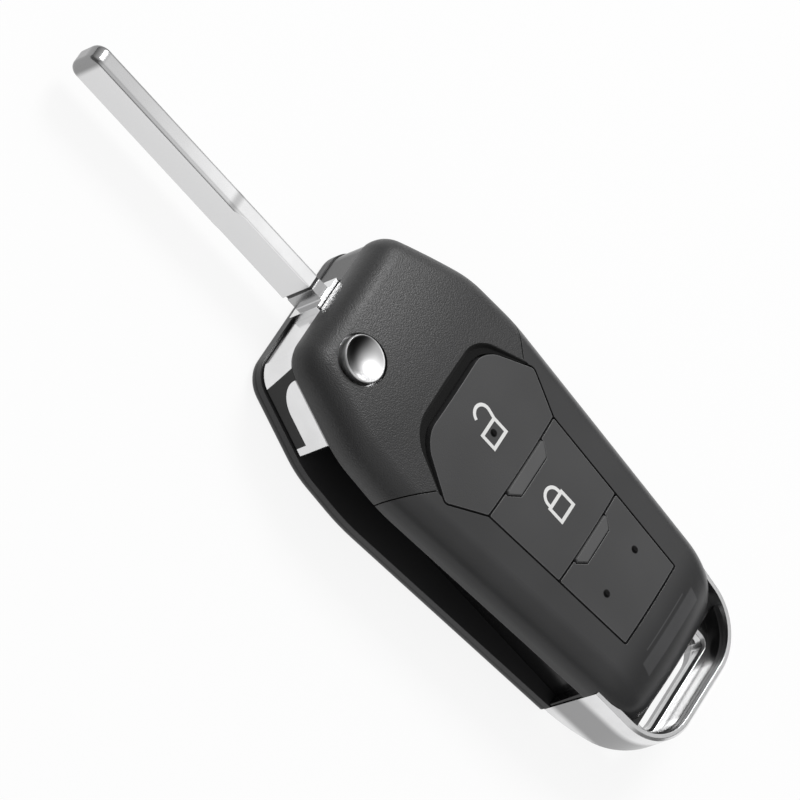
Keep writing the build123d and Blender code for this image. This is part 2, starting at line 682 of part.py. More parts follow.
def release_button():
    """Round dished button over the hinge, with the flange that keeps it in."""
    flange = disc(BUTTON_FLANGE_R, BOTTOM_OF_BUTTON, BUTTON_SEAT_Z)
    stem = disc(BUTTON_R, BOTTOM_OF_BUTTON, BUTTON_TOP_Z)
    dish_z = BUTTON_TOP_Z + sqrt(BUTTON_DISH_R**2 - (BUTTON_R - BUTTON_RIM) ** 2)
    stem = stem - Pos(HINGE_X, HINGE_Y, dish_z) * Sphere(BUTTON_DISH_R)
    rim = stem.edges().filter_by(GeomType.CIRCLE).group_by(Axis.Z)[-1]
    outer_rim = rim.sort_by(SortBy.LENGTH)[-1]
    return chamfer(outer_rim, BUTTON_EDGE) + flange


def core_space():
    """Room for the black core in the left edge of the blade carrier: a strip and a wedge."""
    ring = hub_face() - hub_face(CORE_DEPTH)
    strip_z = HUB_LOW_Z + CORE_TALL
    points = [
        (CORE_LOW_Y, HUB_LOW_Z),
        (CORE_HIGH_Y - CORE_LEAN, HUB_LOW_Z),
        (CORE_HIGH_Y, HUB_TOP_Z),
        (CORE_WEDGE_Y, HUB_TOP_Z),
        (CORE_WEDGE_Y, strip_z),
        (CORE_LOW_Y, strip_z),
    ]
    outline = FilletPolyline(*points, radius=[0, 0, 0, 0, CORE_BEND_R, 0], close=True)
    side = extrude(Plane.YZ * make_face(outline), -REACH)
    left = block(-REACH, HINGE_X, -REACH, REACH, 0, REACH)
    return largest(prism(ring, HUB_LOW_Z, HUB_TOP_Z) & side & left)


def blade_hub():
    """Metal blade carrier that turns in the hinge room."""
    hub = prism(hub_face(), HUB_LOW_Z, HUB_TOP_Z)
    hub = chamfer(hub.edges().group_by(Axis.Z)[-1], BARREL_EDGE)
    hub = hub - core_space()
    hub = hub + disc(BARREL_R, HUB_TOP_Z, HUB_TOP_Z + BARREL_TALL)
    hub = hub - disc(BARREL_BORE_R, BARREL_FLOOR_Z, REACH)
    hub = hub - disc(SPRING_CUP_R, 0, SPRING_CUP_Z)
    hub = hub - disc(POST_R + RUN_FIT, 0, POST_TOP_Z + POST_TIP_GAP)
    plate = block(-REACH, REACH, PLATE_END_Y - PLATE_THICK, REACH, 0, REACH)
    tang_top = PLATE_END_Y - PLATE_THICK - TANG_LENGTH
    half = TANG_TALL / 2 + TANG_FIT
    slot = block(
        BLADE_LEFT - TANG_FIT, BLADE_RIGHT + TANG_FIT, tang_top, REACH,
        BLADE_MID_Z - half, BLADE_MID_Z + half,
    )
    pin_y = PLATE_END_Y - PIN_BACK
    hub = hub - plate - slot - disc(PIN_R, HUB_LOW_Z, HUB_TOP_Z, BLADE_X, pin_y)
    return largest(hub)


def blade():
    """Blank blade with rounded tip, stop ramp, band groove, collar, shoulder plate and tang."""
    start = PLATE_END_Y - PLATE_THICK
    profile = [
        (start, BLADE_LOW_Z),
        (BLADE_TIP_Y, BLADE_LOW_Z),
        (BLADE_TIP_Y, BLADE_TOP_Z),
        (start, BLADE_TOP_Z),
    ]
    outline = FilletPolyline(*profile, radius=[0, BLADE_TIP_R, BLADE_TIP_R, 0], close=True)
    bar = extrude(Plane.YZ * make_face(outline), BLADE_THICK / 2, both=True)
    bar = Pos(BLADE_X, 0, 0) * bar
    nose = [edge for edge in bar.edges() if edge.center().Y > BLADE_TIP_Y - BLADE_TIP_R]
    nose = [edge for edge in nose if abs(edge.center().X - BLADE_X) > BLADE_THICK / 3]
    bar = fillet(nose, BLADE_NOSE_R)
    step_end = BLADE_STEP_Y - BLADE_STEP_RUN
    ramp = Polyline(
        (BLADE_LEFT, BLADE_STEP_Y),
        (BLADE_LEFT + BLADE_STEP_CUT, step_end),
        (BLADE_LEFT + BLADE_STEP_CUT, start),
        (BLADE_LEFT - MARGIN, start),
        (BLADE_LEFT - MARGIN, BLADE_STEP_Y),
        close=True,
    )
    bar = bar - prism(make_face(ramp), 0, REACH)
    band_y = HINGE_END + BAND_START
    bar = bar - sleeve(band_y, band_y + BAND_WIDTH, BAND_DEPTH)
    bar = bar - sleeve(start, band_y, COLLAR_DEPTH)
    plate = block(
        BLADE_X - PLATE_LEFT, BLADE_X + PLATE_RIGHT, start, PLATE_END_Y, HUB_LOW_Z, HUB_TOP_Z
    )
    plate = fillet(plate.edges().filter_by(Axis.Y), HUB_EDGE_R)
    tang = block(
        BLADE_LEFT, BLADE_RIGHT, start - TANG_LENGTH + TANG_FIT, PLATE_END_Y,
        BLADE_MID_Z - TANG_TALL / 2, BLADE_MID_Z + TANG_TALL / 2,
    )
    hole = disc(PIN_R, HUB_LOW_Z, HUB_TOP_Z, BLADE_X, PLATE_END_Y - PIN_BACK)
    return largest(bar + plate + tang - hole)


def sleeve(low_y, high_y, depth):
    """Outer skin of the blade between two places along it."""
    left = BLADE_LEFT + BLADE_STEP_CUT
    whole = block(-REACH, REACH, low_y, high_y, 0, REACH)
    core = block(
        left + depth, BLADE_RIGHT - depth, low_y, high_y, BLADE_LOW_Z + depth, BLADE_TOP_Z - depth
    )
    return whole - core


def blade_pin():
    """Pin that locks the tang in the carrier."""
    pin = disc(PIN_R, HUB_LOW_Z, HUB_TOP_Z, BLADE_X, PLATE_END_Y - PIN_BACK)
    return chamfer(pin.edges().filter_by(GeomType.CIRCLE), BLADE_EDGE_R)


def release_spring():
    """Spring that lifts the release button."""
    room = BOTTOM_OF_BUTTON - BARREL_FLOOR_Z
    pitch = (room - 2 * RELEASE_WIRE_R) / RELEASE_TURNS
    return coil(RELEASE_COIL_R, RELEASE_WIRE_R, pitch, RELEASE_TURNS, BARREL_FLOOR_Z)


def flip_spring():
    """Spring that throws the blade out, held in the carrier's cup."""
    low_z = SPRING_CUP_Z - FLIP_PITCH * FLIP_TURNS - 2 * FLIP_WIRE_R
    return coil(FLIP_COIL_R, FLIP_WIRE_R, FLIP_PITCH, FLIP_TURNS, low_z)


def circuit_board():
    """Circuit board on the frame's ledge."""
    face = offset(pocket_face(0.0), -BOARD_EDGE_GAP, kind=Kind.INTERSECTION)
    return prism(face, BOARD_BOTTOM_Z, PARTING_Z)


def switch(y):
    """Push switch with a round cap."""
    top = PARTING_Z + SWITCH_TALL
    half = SWITCH_SIZE / 2
    body = block(-half, half, y - half, y + half, PARTING_Z, top)
    body = chamfer(body.edges().filter_by(Axis.Z), CHIP_EDGE)
    return body + disc(SWITCH_CAP_R, top, top + SWITCH_CAP_TALL, 0, y)


def chip(x, y, length, width, height):
    """Part on the underside of the board, with bevelled lower edges."""
    low = BOARD_BOTTOM_Z - height
    body = block(x - length / 2, x + length / 2, y - width / 2, y + width / 2, low, BOARD_BOTTOM_Z)
    return chamfer(body.edges().group_by(Axis.Z)[0], CHIP_EDGE)


def antenna_coil():
    """Wound coil on a core with two end blocks."""
    core = chip(COIL_X, COIL_Y, COIL_LENGTH, COIL_WIDTH, COIL_TALL)
    waist = COIL_LENGTH / 2 - COIL_END
    low = BOARD_BOTTOM_Z - COIL_TALL
    ring = block(COIL_X - waist, COIL_X + waist, -REACH, REACH, -REACH, REACH)
    half = COIL_WIDTH / 2 - COIL_DRAW_IN
    middle = block(
        COIL_X - waist, COIL_X + waist, COIL_Y - half, COIL_Y + half,
        low + COIL_DRAW_IN, BOARD_BOTTOM_Z - COIL_DRAW_IN,
    )
    return core - (ring - middle)


def transponder_chip():
    """Wedge-cornered transponder block."""
    low = BOARD_BOTTOM_Z - TRANSPONDER_TALL
    half_x = TRANSPONDER_LENGTH / 2
    half_y = TRANSPONDER_WIDTH / 2
    body = block(
        TRANSPONDER_X - half_x, TRANSPONDER_X + half_x,
        TRANSPONDER_Y - half_y, TRANSPONDER_Y + half_y, low, BOARD_BOTTOM_Z,
    )
    ends = body.edges().filter_by(Axis.Y).group_by(Axis.Z)[0]
    return chamfer(ends, TRANSPONDER_CHAMFER)


def coin_cell():
    """Round cell with its stepped rim."""
    cell = disc(CELL_R, CELL_BOTTOM_Z, CELL_TOP_Z, CELL_X, CELL_Y)
    waist = disc(CELL_R, CELL_BOTTOM_Z, CELL_BOTTOM_Z + CELL_RIM_DROP, CELL_X, CELL_Y)
    waist = waist - disc(CELL_R - CELL_RIM, 0, CASE_HEIGHT, CELL_X, CELL_Y)
    cell = cell - waist
    return chamfer(cell.edges().group_by(Axis.Z)[-1], CHIP_EDGE)


def cell_contact_minus():
    """Flat strip under the cell."""
    half = CONTACT_LENGTH / 2
    wide = CONTACT_WIDTH / 2
    return block(CELL_X - wide, CELL_X + wide, CELL_Y - half, CELL_Y + half, WALL, CELL_BOTTOM_Z)


def cell_contact_plus():
    """Bent strip from the board down to the top of the cell."""
    half = CONTACT_LENGTH / 2
    wide = CONTACT_WIDTH / 2
    low = CELL_TOP_Z
    high = BOARD_BOTTOM_Z
    y = CELL_Y
    outline = Polyline(
        (y - half, high),
        (y - half, high - CONTACT_THICK),
        (y - CONTACT_WIDTH, low),
        (y + CONTACT_WIDTH, low),
        (y + half, high - CONTACT_THICK),
        (y + half, high),
        (y + half - CONTACT_WIDTH, high),
        (y + CONTACT_WIDTH - CONTACT_THICK, low + CONTACT_THICK),
        (y - CONTACT_WIDTH + CONTACT_THICK, low + CONTACT_THICK),
        (y - half + CONTACT_WIDTH, high),
        close=True,
    )
    strip = extrude(Plane.YZ * make_face(outline), wide, both=True)
    return Pos(CELL_X, 0, 0) * strip


SHELL = front_shell()
PIECES = {
    "front_cover": front_cover(SHELL),
    "keypad_bezel": keypad_bezel(SHELL),
    "back_cover": back_cover(),
    "chassis": chassis(),
    "chrome_loop": chrome_loop(),
    "keypad_membrane": keypad_membrane(),
    "unlock_button": unlock_button(),
    "lock_button": lock_button(),
    "blank_pad": blank_pad(),
    "release_button": release_button(),
    "release_spring": release_spring(),
    "blade_hub": blade_hub(),
    "hub_core": core_space(),
    "blade": blade(),
    "blade_pin": blade_pin(),
    "flip_spring": flip_spring(),
    "circuit_board": circuit_board(),
    "unlock_switch": switch(UNLOCK_SWITCH_Y),
    "lock_switch": switch(LOCK_SWITCH_Y),
    "radio_chip": chip(CELL_X, RADIO_CHIP_Y, RADIO_CHIP, RADIO_CHIP, CHIP_TALL),
    "controller_chip": chip(
        CONTROLLER_CHIP_X, CONTROLLER_CHIP_Y, CONTROLLER_CHIP, CONTROLLER_CHIP, CHIP_TALL
    ),
    "crystal_can": chip(CRYSTAL_X, RADIO_CHIP_Y, CRYSTAL_LENGTH, CRYSTAL_WIDTH, CHIP_TALL),
    "transponder_chip": transponder_chip(),
    "antenna_coil": antenna_coil(),
    "coin_cell": coin_cell(),
    "cell_contact_plus": cell_contact_plus(),
    "cell_contact_minus": cell_contact_minus(),
}

os.makedirs("parts", exist_ok=True)
for name, piece in PIECES.items():
    export_step(piece, "parts/" + name + ".step")
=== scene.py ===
"""Looks for a flip-blade remote key: finishes, printed marks, studio and camera.

Every length is in metres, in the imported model's frame: x across the keypad, y along the case
towards the blade, z out of the button face, with the case's flat back on z = 0. Only the
reaches of the toned patches are written in millimetres, and are turned into metres there.
"""

import logging
import math
from dataclasses import dataclass, field
from enum import Enum
from typing import Any, Optional, Union

import bmesh
import bpy
from mathutils import Euler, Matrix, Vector


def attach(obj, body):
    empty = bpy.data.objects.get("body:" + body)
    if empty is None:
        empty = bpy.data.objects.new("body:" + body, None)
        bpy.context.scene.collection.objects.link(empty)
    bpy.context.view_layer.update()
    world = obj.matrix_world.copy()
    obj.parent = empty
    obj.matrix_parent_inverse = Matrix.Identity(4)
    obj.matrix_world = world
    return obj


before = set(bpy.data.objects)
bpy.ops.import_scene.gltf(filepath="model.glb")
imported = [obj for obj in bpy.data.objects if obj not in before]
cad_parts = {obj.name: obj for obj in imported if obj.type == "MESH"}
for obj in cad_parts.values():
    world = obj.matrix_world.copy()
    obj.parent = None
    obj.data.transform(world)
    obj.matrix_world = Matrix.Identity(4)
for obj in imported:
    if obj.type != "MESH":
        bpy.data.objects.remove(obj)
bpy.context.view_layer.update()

MM = 0.001
LOG = logging.getLogger("flip_key")

Colour = tuple[float, float, float]
Point = tuple[float, float]
Place = tuple[float, float, float]
Number = Union["Signal", float]

# Sizes and places of the key that its finishes need.
FACE_HEIGHT = 15.3 * MM
CROWN_RADIUS = 95.0 * MM
# The pips on the pads get painted shade.
PIP_RADIUS = 0.6 * MM
UNLOCK_PIP = (0.0, 10.5 * MM)
BLANK_PIPS = ((-4.25 * MM, -15.6 * MM), (4.25 * MM, -15.6 * MM))

# The groove round the keypad gets painted shade in the cover's colour.
GROOVE_START_Y = 9.0 * MM
GROOVE_END_Y = 20.4 * MM
GROOVE_HALF = 14.2 * MM
GROOVE_LOW_Z = 12.0 * MM
GROOVE_HIGH_Z = 16.0 * MM
GROOVE_SOFT = 0.1 * MM
GROOVE_DEPTHS = (0.01 * MM, 0.25 * MM)

# How every finish is drawn.
BEVEL_SAMPLES = 6
CORNER_RANGE = (0.02, 0.2)
BLOTCH_RANGE = (0.3, 0.7)
SPOT_RIM = (0.8, 1.1)
WOBBLE_SCALE = 0.7
EVEN = (1.0, 1.0, 1.0)
WHITE = (1.0, 1.0, 1.0, 1.0)
MIDDLE = 0.5


class Signal:
    """A socket that carries something which varies over a surface, with arithmetic."""

    def __init__(self, graph: "Graph", socket: bpy.types.NodeSocket) -> None:
        """Wraps one output socket.

        Args:
            graph: the material's graph that owns the socket.
            socket: the output to wrap.
        """
        self.graph = graph
        self.socket = socket

    def math(self, operation: str, *values: Number) -> "Signal":
        """Feeds values to a Math node.

        Args:
            operation: the Math node's operation.
            values: its inputs, in order.

        Returns:
            The node's result.
        """
        inputs = dict(enumerate(values))
        return self.graph.node("ShaderNodeMath", {"operation": operation}, inputs)

    def __add__(self, other: Number) -> "Signal":
        """self + other."""
        return self.math("ADD", self, other)

    def __radd__(self, other: Number) -> "Signal":
        """other + self."""
        return self.math("ADD", other, self)

    def __sub__(self, other: Number) -> "Signal":
        """self - other."""
        return self.math("SUBTRACT", self, other)

    def __rsub__(self, other: Number) -> "Signal":
        """other - self."""
        return self.math("SUBTRACT", other, self)

    def __mul__(self, other: Number) -> "Signal":
        """self * other."""
        return self.math("MULTIPLY", self, other)

    def __rmul__(self, other: Number) -> "Signal":
        """other * self."""
        return self.math("MULTIPLY", other, self)

    def __truediv__(self, other: Number) -> "Signal":
        """self / other."""
        return self.math("DIVIDE", self, other)

    def __rtruediv__(self, other: Number) -> "Signal":
        """other / self."""
        return self.math("DIVIDE", other, self)

    def __pow__(self, other: Number) -> "Signal":
        """self ** other."""
        return self.math("POWER", self, other)

    def __rpow__(self, other: Number) -> "Signal":
        """other ** self."""
        return self.math("POWER", other, self)

    def between(self, low: float, high: float) -> "Signal":
        """Rises smoothly from 0 at low to 1 at high.

        Args:
            low: value at which the result is 0.
            high: value at which the result is 1.

        Returns:
            The stepped signal.
        """
        settings = {"interpolation_type": "SMOOTHSTEP"}
        inputs = {0: self, 1: low, 2: high, 3: 0.0, 4: 1.0}
        return self.graph.node("ShaderNodeMapRange", settings, inputs)


class Graph:
    """The node tree of one material or of the world."""

    def __init__(self, owner: Union[bpy.types.Material, bpy.types.World]) -> None:
        """Starts with an empty tree.

        Args:
            owner: the material or world that is given nodes.
        """
        self.owner = owner
        self.owner.use_nodes = True
        self.tree = self.owner.node_tree
        self.tree.nodes.clear()

    def add(self, kind: str, settings: dict[str, Any], inputs: dict[Any, Any]) -> bpy.types.Node:
        """Adds one node.

        Args:
            kind: the node's type.
            settings: attributes that are set before its sockets.
            inputs: value or Signal for each input, by name or place.

        Returns:
            The node.
        """
        node = self.tree.nodes.new(kind)
        for key, value in settings.items():
            setattr(node, key, value)
        for key, value in inputs.items():
            if isinstance(value, Signal):
                self.tree.links.new(value.socket, node.inputs[key])
            else:
                node.inputs[key].default_value = value
        return node

    def node(
        self, kind: str, settings: dict[str, Any], inputs: dict[Any, Any], output: Any = 0
    ) -> Signal:
        """Adds one node and wraps one of its outputs.

        Args:
            kind: the node's type.
            settings: attributes that are set before its sockets.
            inputs: value or Signal for each input, by name or place.
            output: name or place of the output to wrap.

        Returns:
            The chosen output.
        """
        return Signal(self, self.add(kind, settings, inputs).outputs[output])

    def place(self) -> Signal:
        """Point on the surface.

        Returns:
            The point, in the piece's own frame.
        """
        return self.node("ShaderNodeTexCoord", {}, {}, "Object")

    def axis(self, name: str) -> Signal:
        """One coordinate of the point on the surface.

        Args:
            name: X, Y or Z.

        Returns:
            The coordinate in metres.
        """
        return self.node("ShaderNodeSeparateXYZ", {}, {0: self.place()}, name)

    def within(self, low: Place, high: Place, soft: Place) -> Signal:
        """Marks a block, with soft sides.

        Args:
            low: smallest x, y and z.
            high: largest x, y and z.
            soft: half of the width over which the mark fades, along x, y and z.

        Returns:
            1 inside the block and 0 outside it.
        """
        mark: Number = 1.0
        for name, start, end, fade in zip("XYZ", low, high, soft):
            along = self.axis(name)
            past_start = along.between(start - fade, start + fade)
            past_end = along.between(end - fade, end + fade)
            mark = mark * past_start * (1.0 - past_end)
        return mark

    def away(self, spot: Point) -> Signal:
        """Distance from a spot, seen from above.

        Args:
            spot: x and y of the spot.

        Returns:
            The distance in metres.
        """
        return ((self.axis("X") - spot[0]) ** 2.0 + (self.axis("Y") - spot[1]) ** 2.0) ** 0.5

    def near(self, spots: tuple[Point, ...], radius: float) -> Signal:
        """Marks small round spots, seen from above.

        Args:
            spots: middle of each spot.
            radius: the spots' radius.

        Returns:
            1 on a spot and 0 away from it.
        """
        mark: Number = 0.0
        for spot in spots:
            distance = self.away(spot)
            mark = mark + (1.0 - distance.between(SPOT_RIM[0] * radius, SPOT_RIM[1] * radius))
        return mark

    def stretched(self, scale: Place) -> Signal:
        """Point on the surface, scaled along each axis.

        Args:
            scale: factor along x, y and z.

        Returns:
            The scaled point.
        """
        inputs = {0: self.place(), 1: scale}
        return self.node("ShaderNodeVectorMath", {"operation": "MULTIPLY"}, inputs)

    def noise(self, size: float, detail: float, place: Optional[Signal] = None) -> Signal:
        """Soft noise.

        Args:
            size: width of one blotch in metres.
            detail: how many finer layers are added.
            place: point to read the noise at, or None for the point on the surface.

        Returns:
            The noise, from 0 to 1.
        """
        inputs = {"Vector": place or self.place(), "Scale": 1.0 / size, "Detail": detail}
        return self.node("ShaderNodeTexNoise", {}, inputs, "Fac")

    def cells(self, size: float) -> Signal:
        """Distance from the middle of the nearest cell in an uneven pattern.

        Args:
            size: width of one cell in metres.

        Returns:
            The distance, in cell widths.
        """
        stir = {"Vector": self.place(), "Scale": WOBBLE_SCALE / size}
        drift = self.node("ShaderNodeTexNoise", {}, stir, "Color")
        sums = {0: drift, 1: (size, size, size), 2: self.place()}
        wobble = self.node("ShaderNodeVectorMath", {"operation": "MULTIPLY_ADD"}, sums)
        inputs = {"Vector": wobble, "Scale": 1.0 / size}
        return self.node("ShaderNodeTexVoronoi", {}, inputs, "Distance")

    def edges(self, radius: float) -> Signal:
        """Shows where the surface turns a corner.

        Args:
            radius: how far from a corner the effect reaches, in metres.

        Returns:
            0 on open surface, towards 1 on a corner.
        """
        soft = self.node("ShaderNodeBevel", {"samples": BEVEL_SAMPLES}, {"Radius": radius})
        flat = self.node("ShaderNodeNewGeometry", {}, {}, "Normal")
        return (1.0 - self.facing(soft, flat)).between(*CORNER_RANGE)

    def facing(self, one: Union[Signal, Place], other: Union[Signal, Place]) -> Signal:
        """Shows how far two directions agree.

        Args:
            one: first direction.
            other: second direction.

        Returns:
            Their dot product.
        """
        inputs = {0: one, 1: other}
        return self.node("ShaderNodeVectorMath", {"operation": "DOT_PRODUCT"}, inputs, "Value")

    def blend(
        self, factor: Number, low: Union[Signal, Colour], high: Union[Signal, Colour]
    ) -> Signal:
        """Mixes two colours.

        Args:
            factor: 0 for low and 1 for high.
            low: first colour.
            high: second colour.

        Returns:
            The mixed colour.
        """
        ends = [value if isinstance(value, Signal) else (*value, 1.0) for value in (low, high)]
        inputs = {0: factor, 6: ends[0], 7: ends[1]}
        return self.node("ShaderNodeMix", {"data_type": "RGBA"}, inputs, 2)

    def shade(self, colour: Signal, tone: Signal) -> Signal:
        """Multiplies a colour by one factor.

        Args:
            colour: the colour.
            tone: the factor.

        Returns:
            The shaded colour.
        """
        grey = self.node("ShaderNodeCombineXYZ", {}, {0: tone, 1: tone, 2: tone})
        return self.node("ShaderNodeVectorMath", {"operation": "MULTIPLY"}, {0: colour, 1: grey})

    def bump(self, height: Signal, depth: float, soft_edge: float = 0.0) -> Signal:
        """Turns a height into a normal.

        Args:
            height: the height, from 0 to 1.
            depth: what a height of 1 stands for, in metres.
            soft_edge: radius that sharp edges are rounded to in the light, in metres.

        Returns:
            The normal.
        """
        inputs = {"Height": height, "Distance": depth, "Strength": 1.0}
        if soft_edge > 0.0:
            round_off = {"Radius": soft_edge}
            inputs["Normal"] = self.node("ShaderNodeBevel", {"samples": BEVEL_SAMPLES}, round_off)
        return self.node("ShaderNodeBump", {}, inputs)

    def surface(self, constants: dict[str, Any], varied: dict[str, Signal]) -> bpy.types.Material:
        """Closes the material with one shader.

        Args:
            constants: plain values of the shader's sockets.
            varied: signals for the sockets that vary over the surface.

        Returns:
            The finished material.
        """
        self.close(self.node("ShaderNodeBsdfPrincipled", {}, {**constants, **varied}))
        return self.owner

    def close(self, shader: Signal, kind: str = "ShaderNodeOutputMaterial") -> None:
        """Joins a shader to the tree's output.

        Args:
            shader: the shader.
            kind: the output node's type.
        """
        self.add(kind, {}, {"Surface": shader})


@dataclass(frozen=True)
class Patch:
    """A block of the surface whose colour is scaled: painted shade, painted highlight or a dark
    joint line.

    Attributes:
        low, high: its corners.
        tone: factor on the colour inside.
        soft: half of the width over which its sides fade along x and z.
        fade: half of the width over which its ends fade along y.
    """

    low: Place
    high: Place
    tone: float
    soft: float
    fade: float

    @classmethod
    def in_mm(
        cls, x: Point, y: Point, z: Point, tone: float,
        soft: float = 0.15, fade: Optional[float] = None,
    ) -> "Patch":
        """Makes a patch from its reach along each axis.

        Args:
            x: smallest and largest x, in millimetres.
            y: smallest and largest y, in millimetres.
            z: smallest and largest z, in millimetres.
            tone: factor on the colour inside.
            soft: half of the width over which its sides fade, in millimetres.
            fade: that half width along y, or None where it is the same.

        Returns:
            The patch, in metres.
        """
        low = tuple(reach[0] * MM for reach in (x, y, z))
        high = tuple(reach[1] * MM for reach in (x, y, z))
        along = soft if fade is None else fade
        return cls(low, high, tone, soft * MM, along * MM)

    def mark(self, graph: Graph) -> Signal:
        """Shows the block.

        Args:
            graph: the material's graph.

        Returns:
            1 inside the block and 0 outside it.
        """
        return graph.within(self.low, self.high, (self.soft, self.fade, self.soft))


# Reaches of the toned patches, in millimetres: painted highlight on the bezel, a dark joint line
# round the back cover, and painted shade on the blade, its collar, the button and the loop.
FRONT_Z = (9.0, 16.0)
# Painted highlight: a lighter band and line across the smooth bezel, where its surface catches the
# light.
BEZEL_HIGHLIGHT_BAND = Patch.in_mm((-7.2, 7.6), (-27.9, -25.8), FRONT_Z, tone=1.9)
BEZEL_HIGHLIGHT_LINE = Patch.in_mm((-5.4, 5.5), (-25.2, -25.0), FRONT_Z, tone=1.9, soft=0.05)
BACK_LINE = Patch.in_mm((-20.0, 20.0), (-40.0, 40.0), (1.35, 1.65), tone=0.1, soft=0.06)

BLADE_TOP = 8.9
BLADE_X = (-5.0, 5.0)
BLADE_Z = (0.0, 10.0)
BLADE_FACE_Z = (BLADE_TOP - 0.4, 12.0)
# Painted shade on the blade: darker sides and tip, dark bands at the step and the nose, and a
# darker collar and groove at its base.
BLADE_SIDES_SHADE = Patch.in_mm(BLADE_X, (30.0, 100.0), (0.0, BLADE_TOP - 0.2), tone=0.76, soft=0.05)
BLADE_TIP_SHADE = Patch.in_mm(BLADE_X, (67.0, 110.0), BLADE_FACE_Z, tone=0.6, fade=15.0)
BLADE_STEP_SHADE = Patch.in_mm(BLADE_X, (55.4, 56.6), BLADE_FACE_Z, tone=0.6, fade=0.5)
BLADE_NOSE_SHADE = Patch.in_mm(BLADE_X, (82.0, 90.0), BLADE_Z, tone=0.3, soft=0.5)
COLLAR_GROOVE_SHADE = Patch.in_mm(BLADE_X, (40.3, 40.9), BLADE_Z, tone=0.06, soft=0.03)
COLLAR_SHADE = Patch.in_mm(BLADE_X, (38.6, 40.3), BLADE_Z, tone=0.45, soft=0.1)

# Painted shade: the darker half of the button's dish, and darker walls and ledge on the loop.
BUTTON_SHADE = Patch.in_mm((-14.0, 0.0), (31.4, 45.0), (10.0, 20.0), tone=0.05, fade=1.8)
LOOP_WALL_SHADE = Patch.in_mm((-19.0, 19.0), (-45.0, -20.0), (3.0, 8.4), tone=0.4, soft=0.8)
LOOP_LEDGE_SHADE = Patch.in_mm((-9.8, 9.8), (-36.4, -29.0), (5.0, 7.7), tone=0.8)


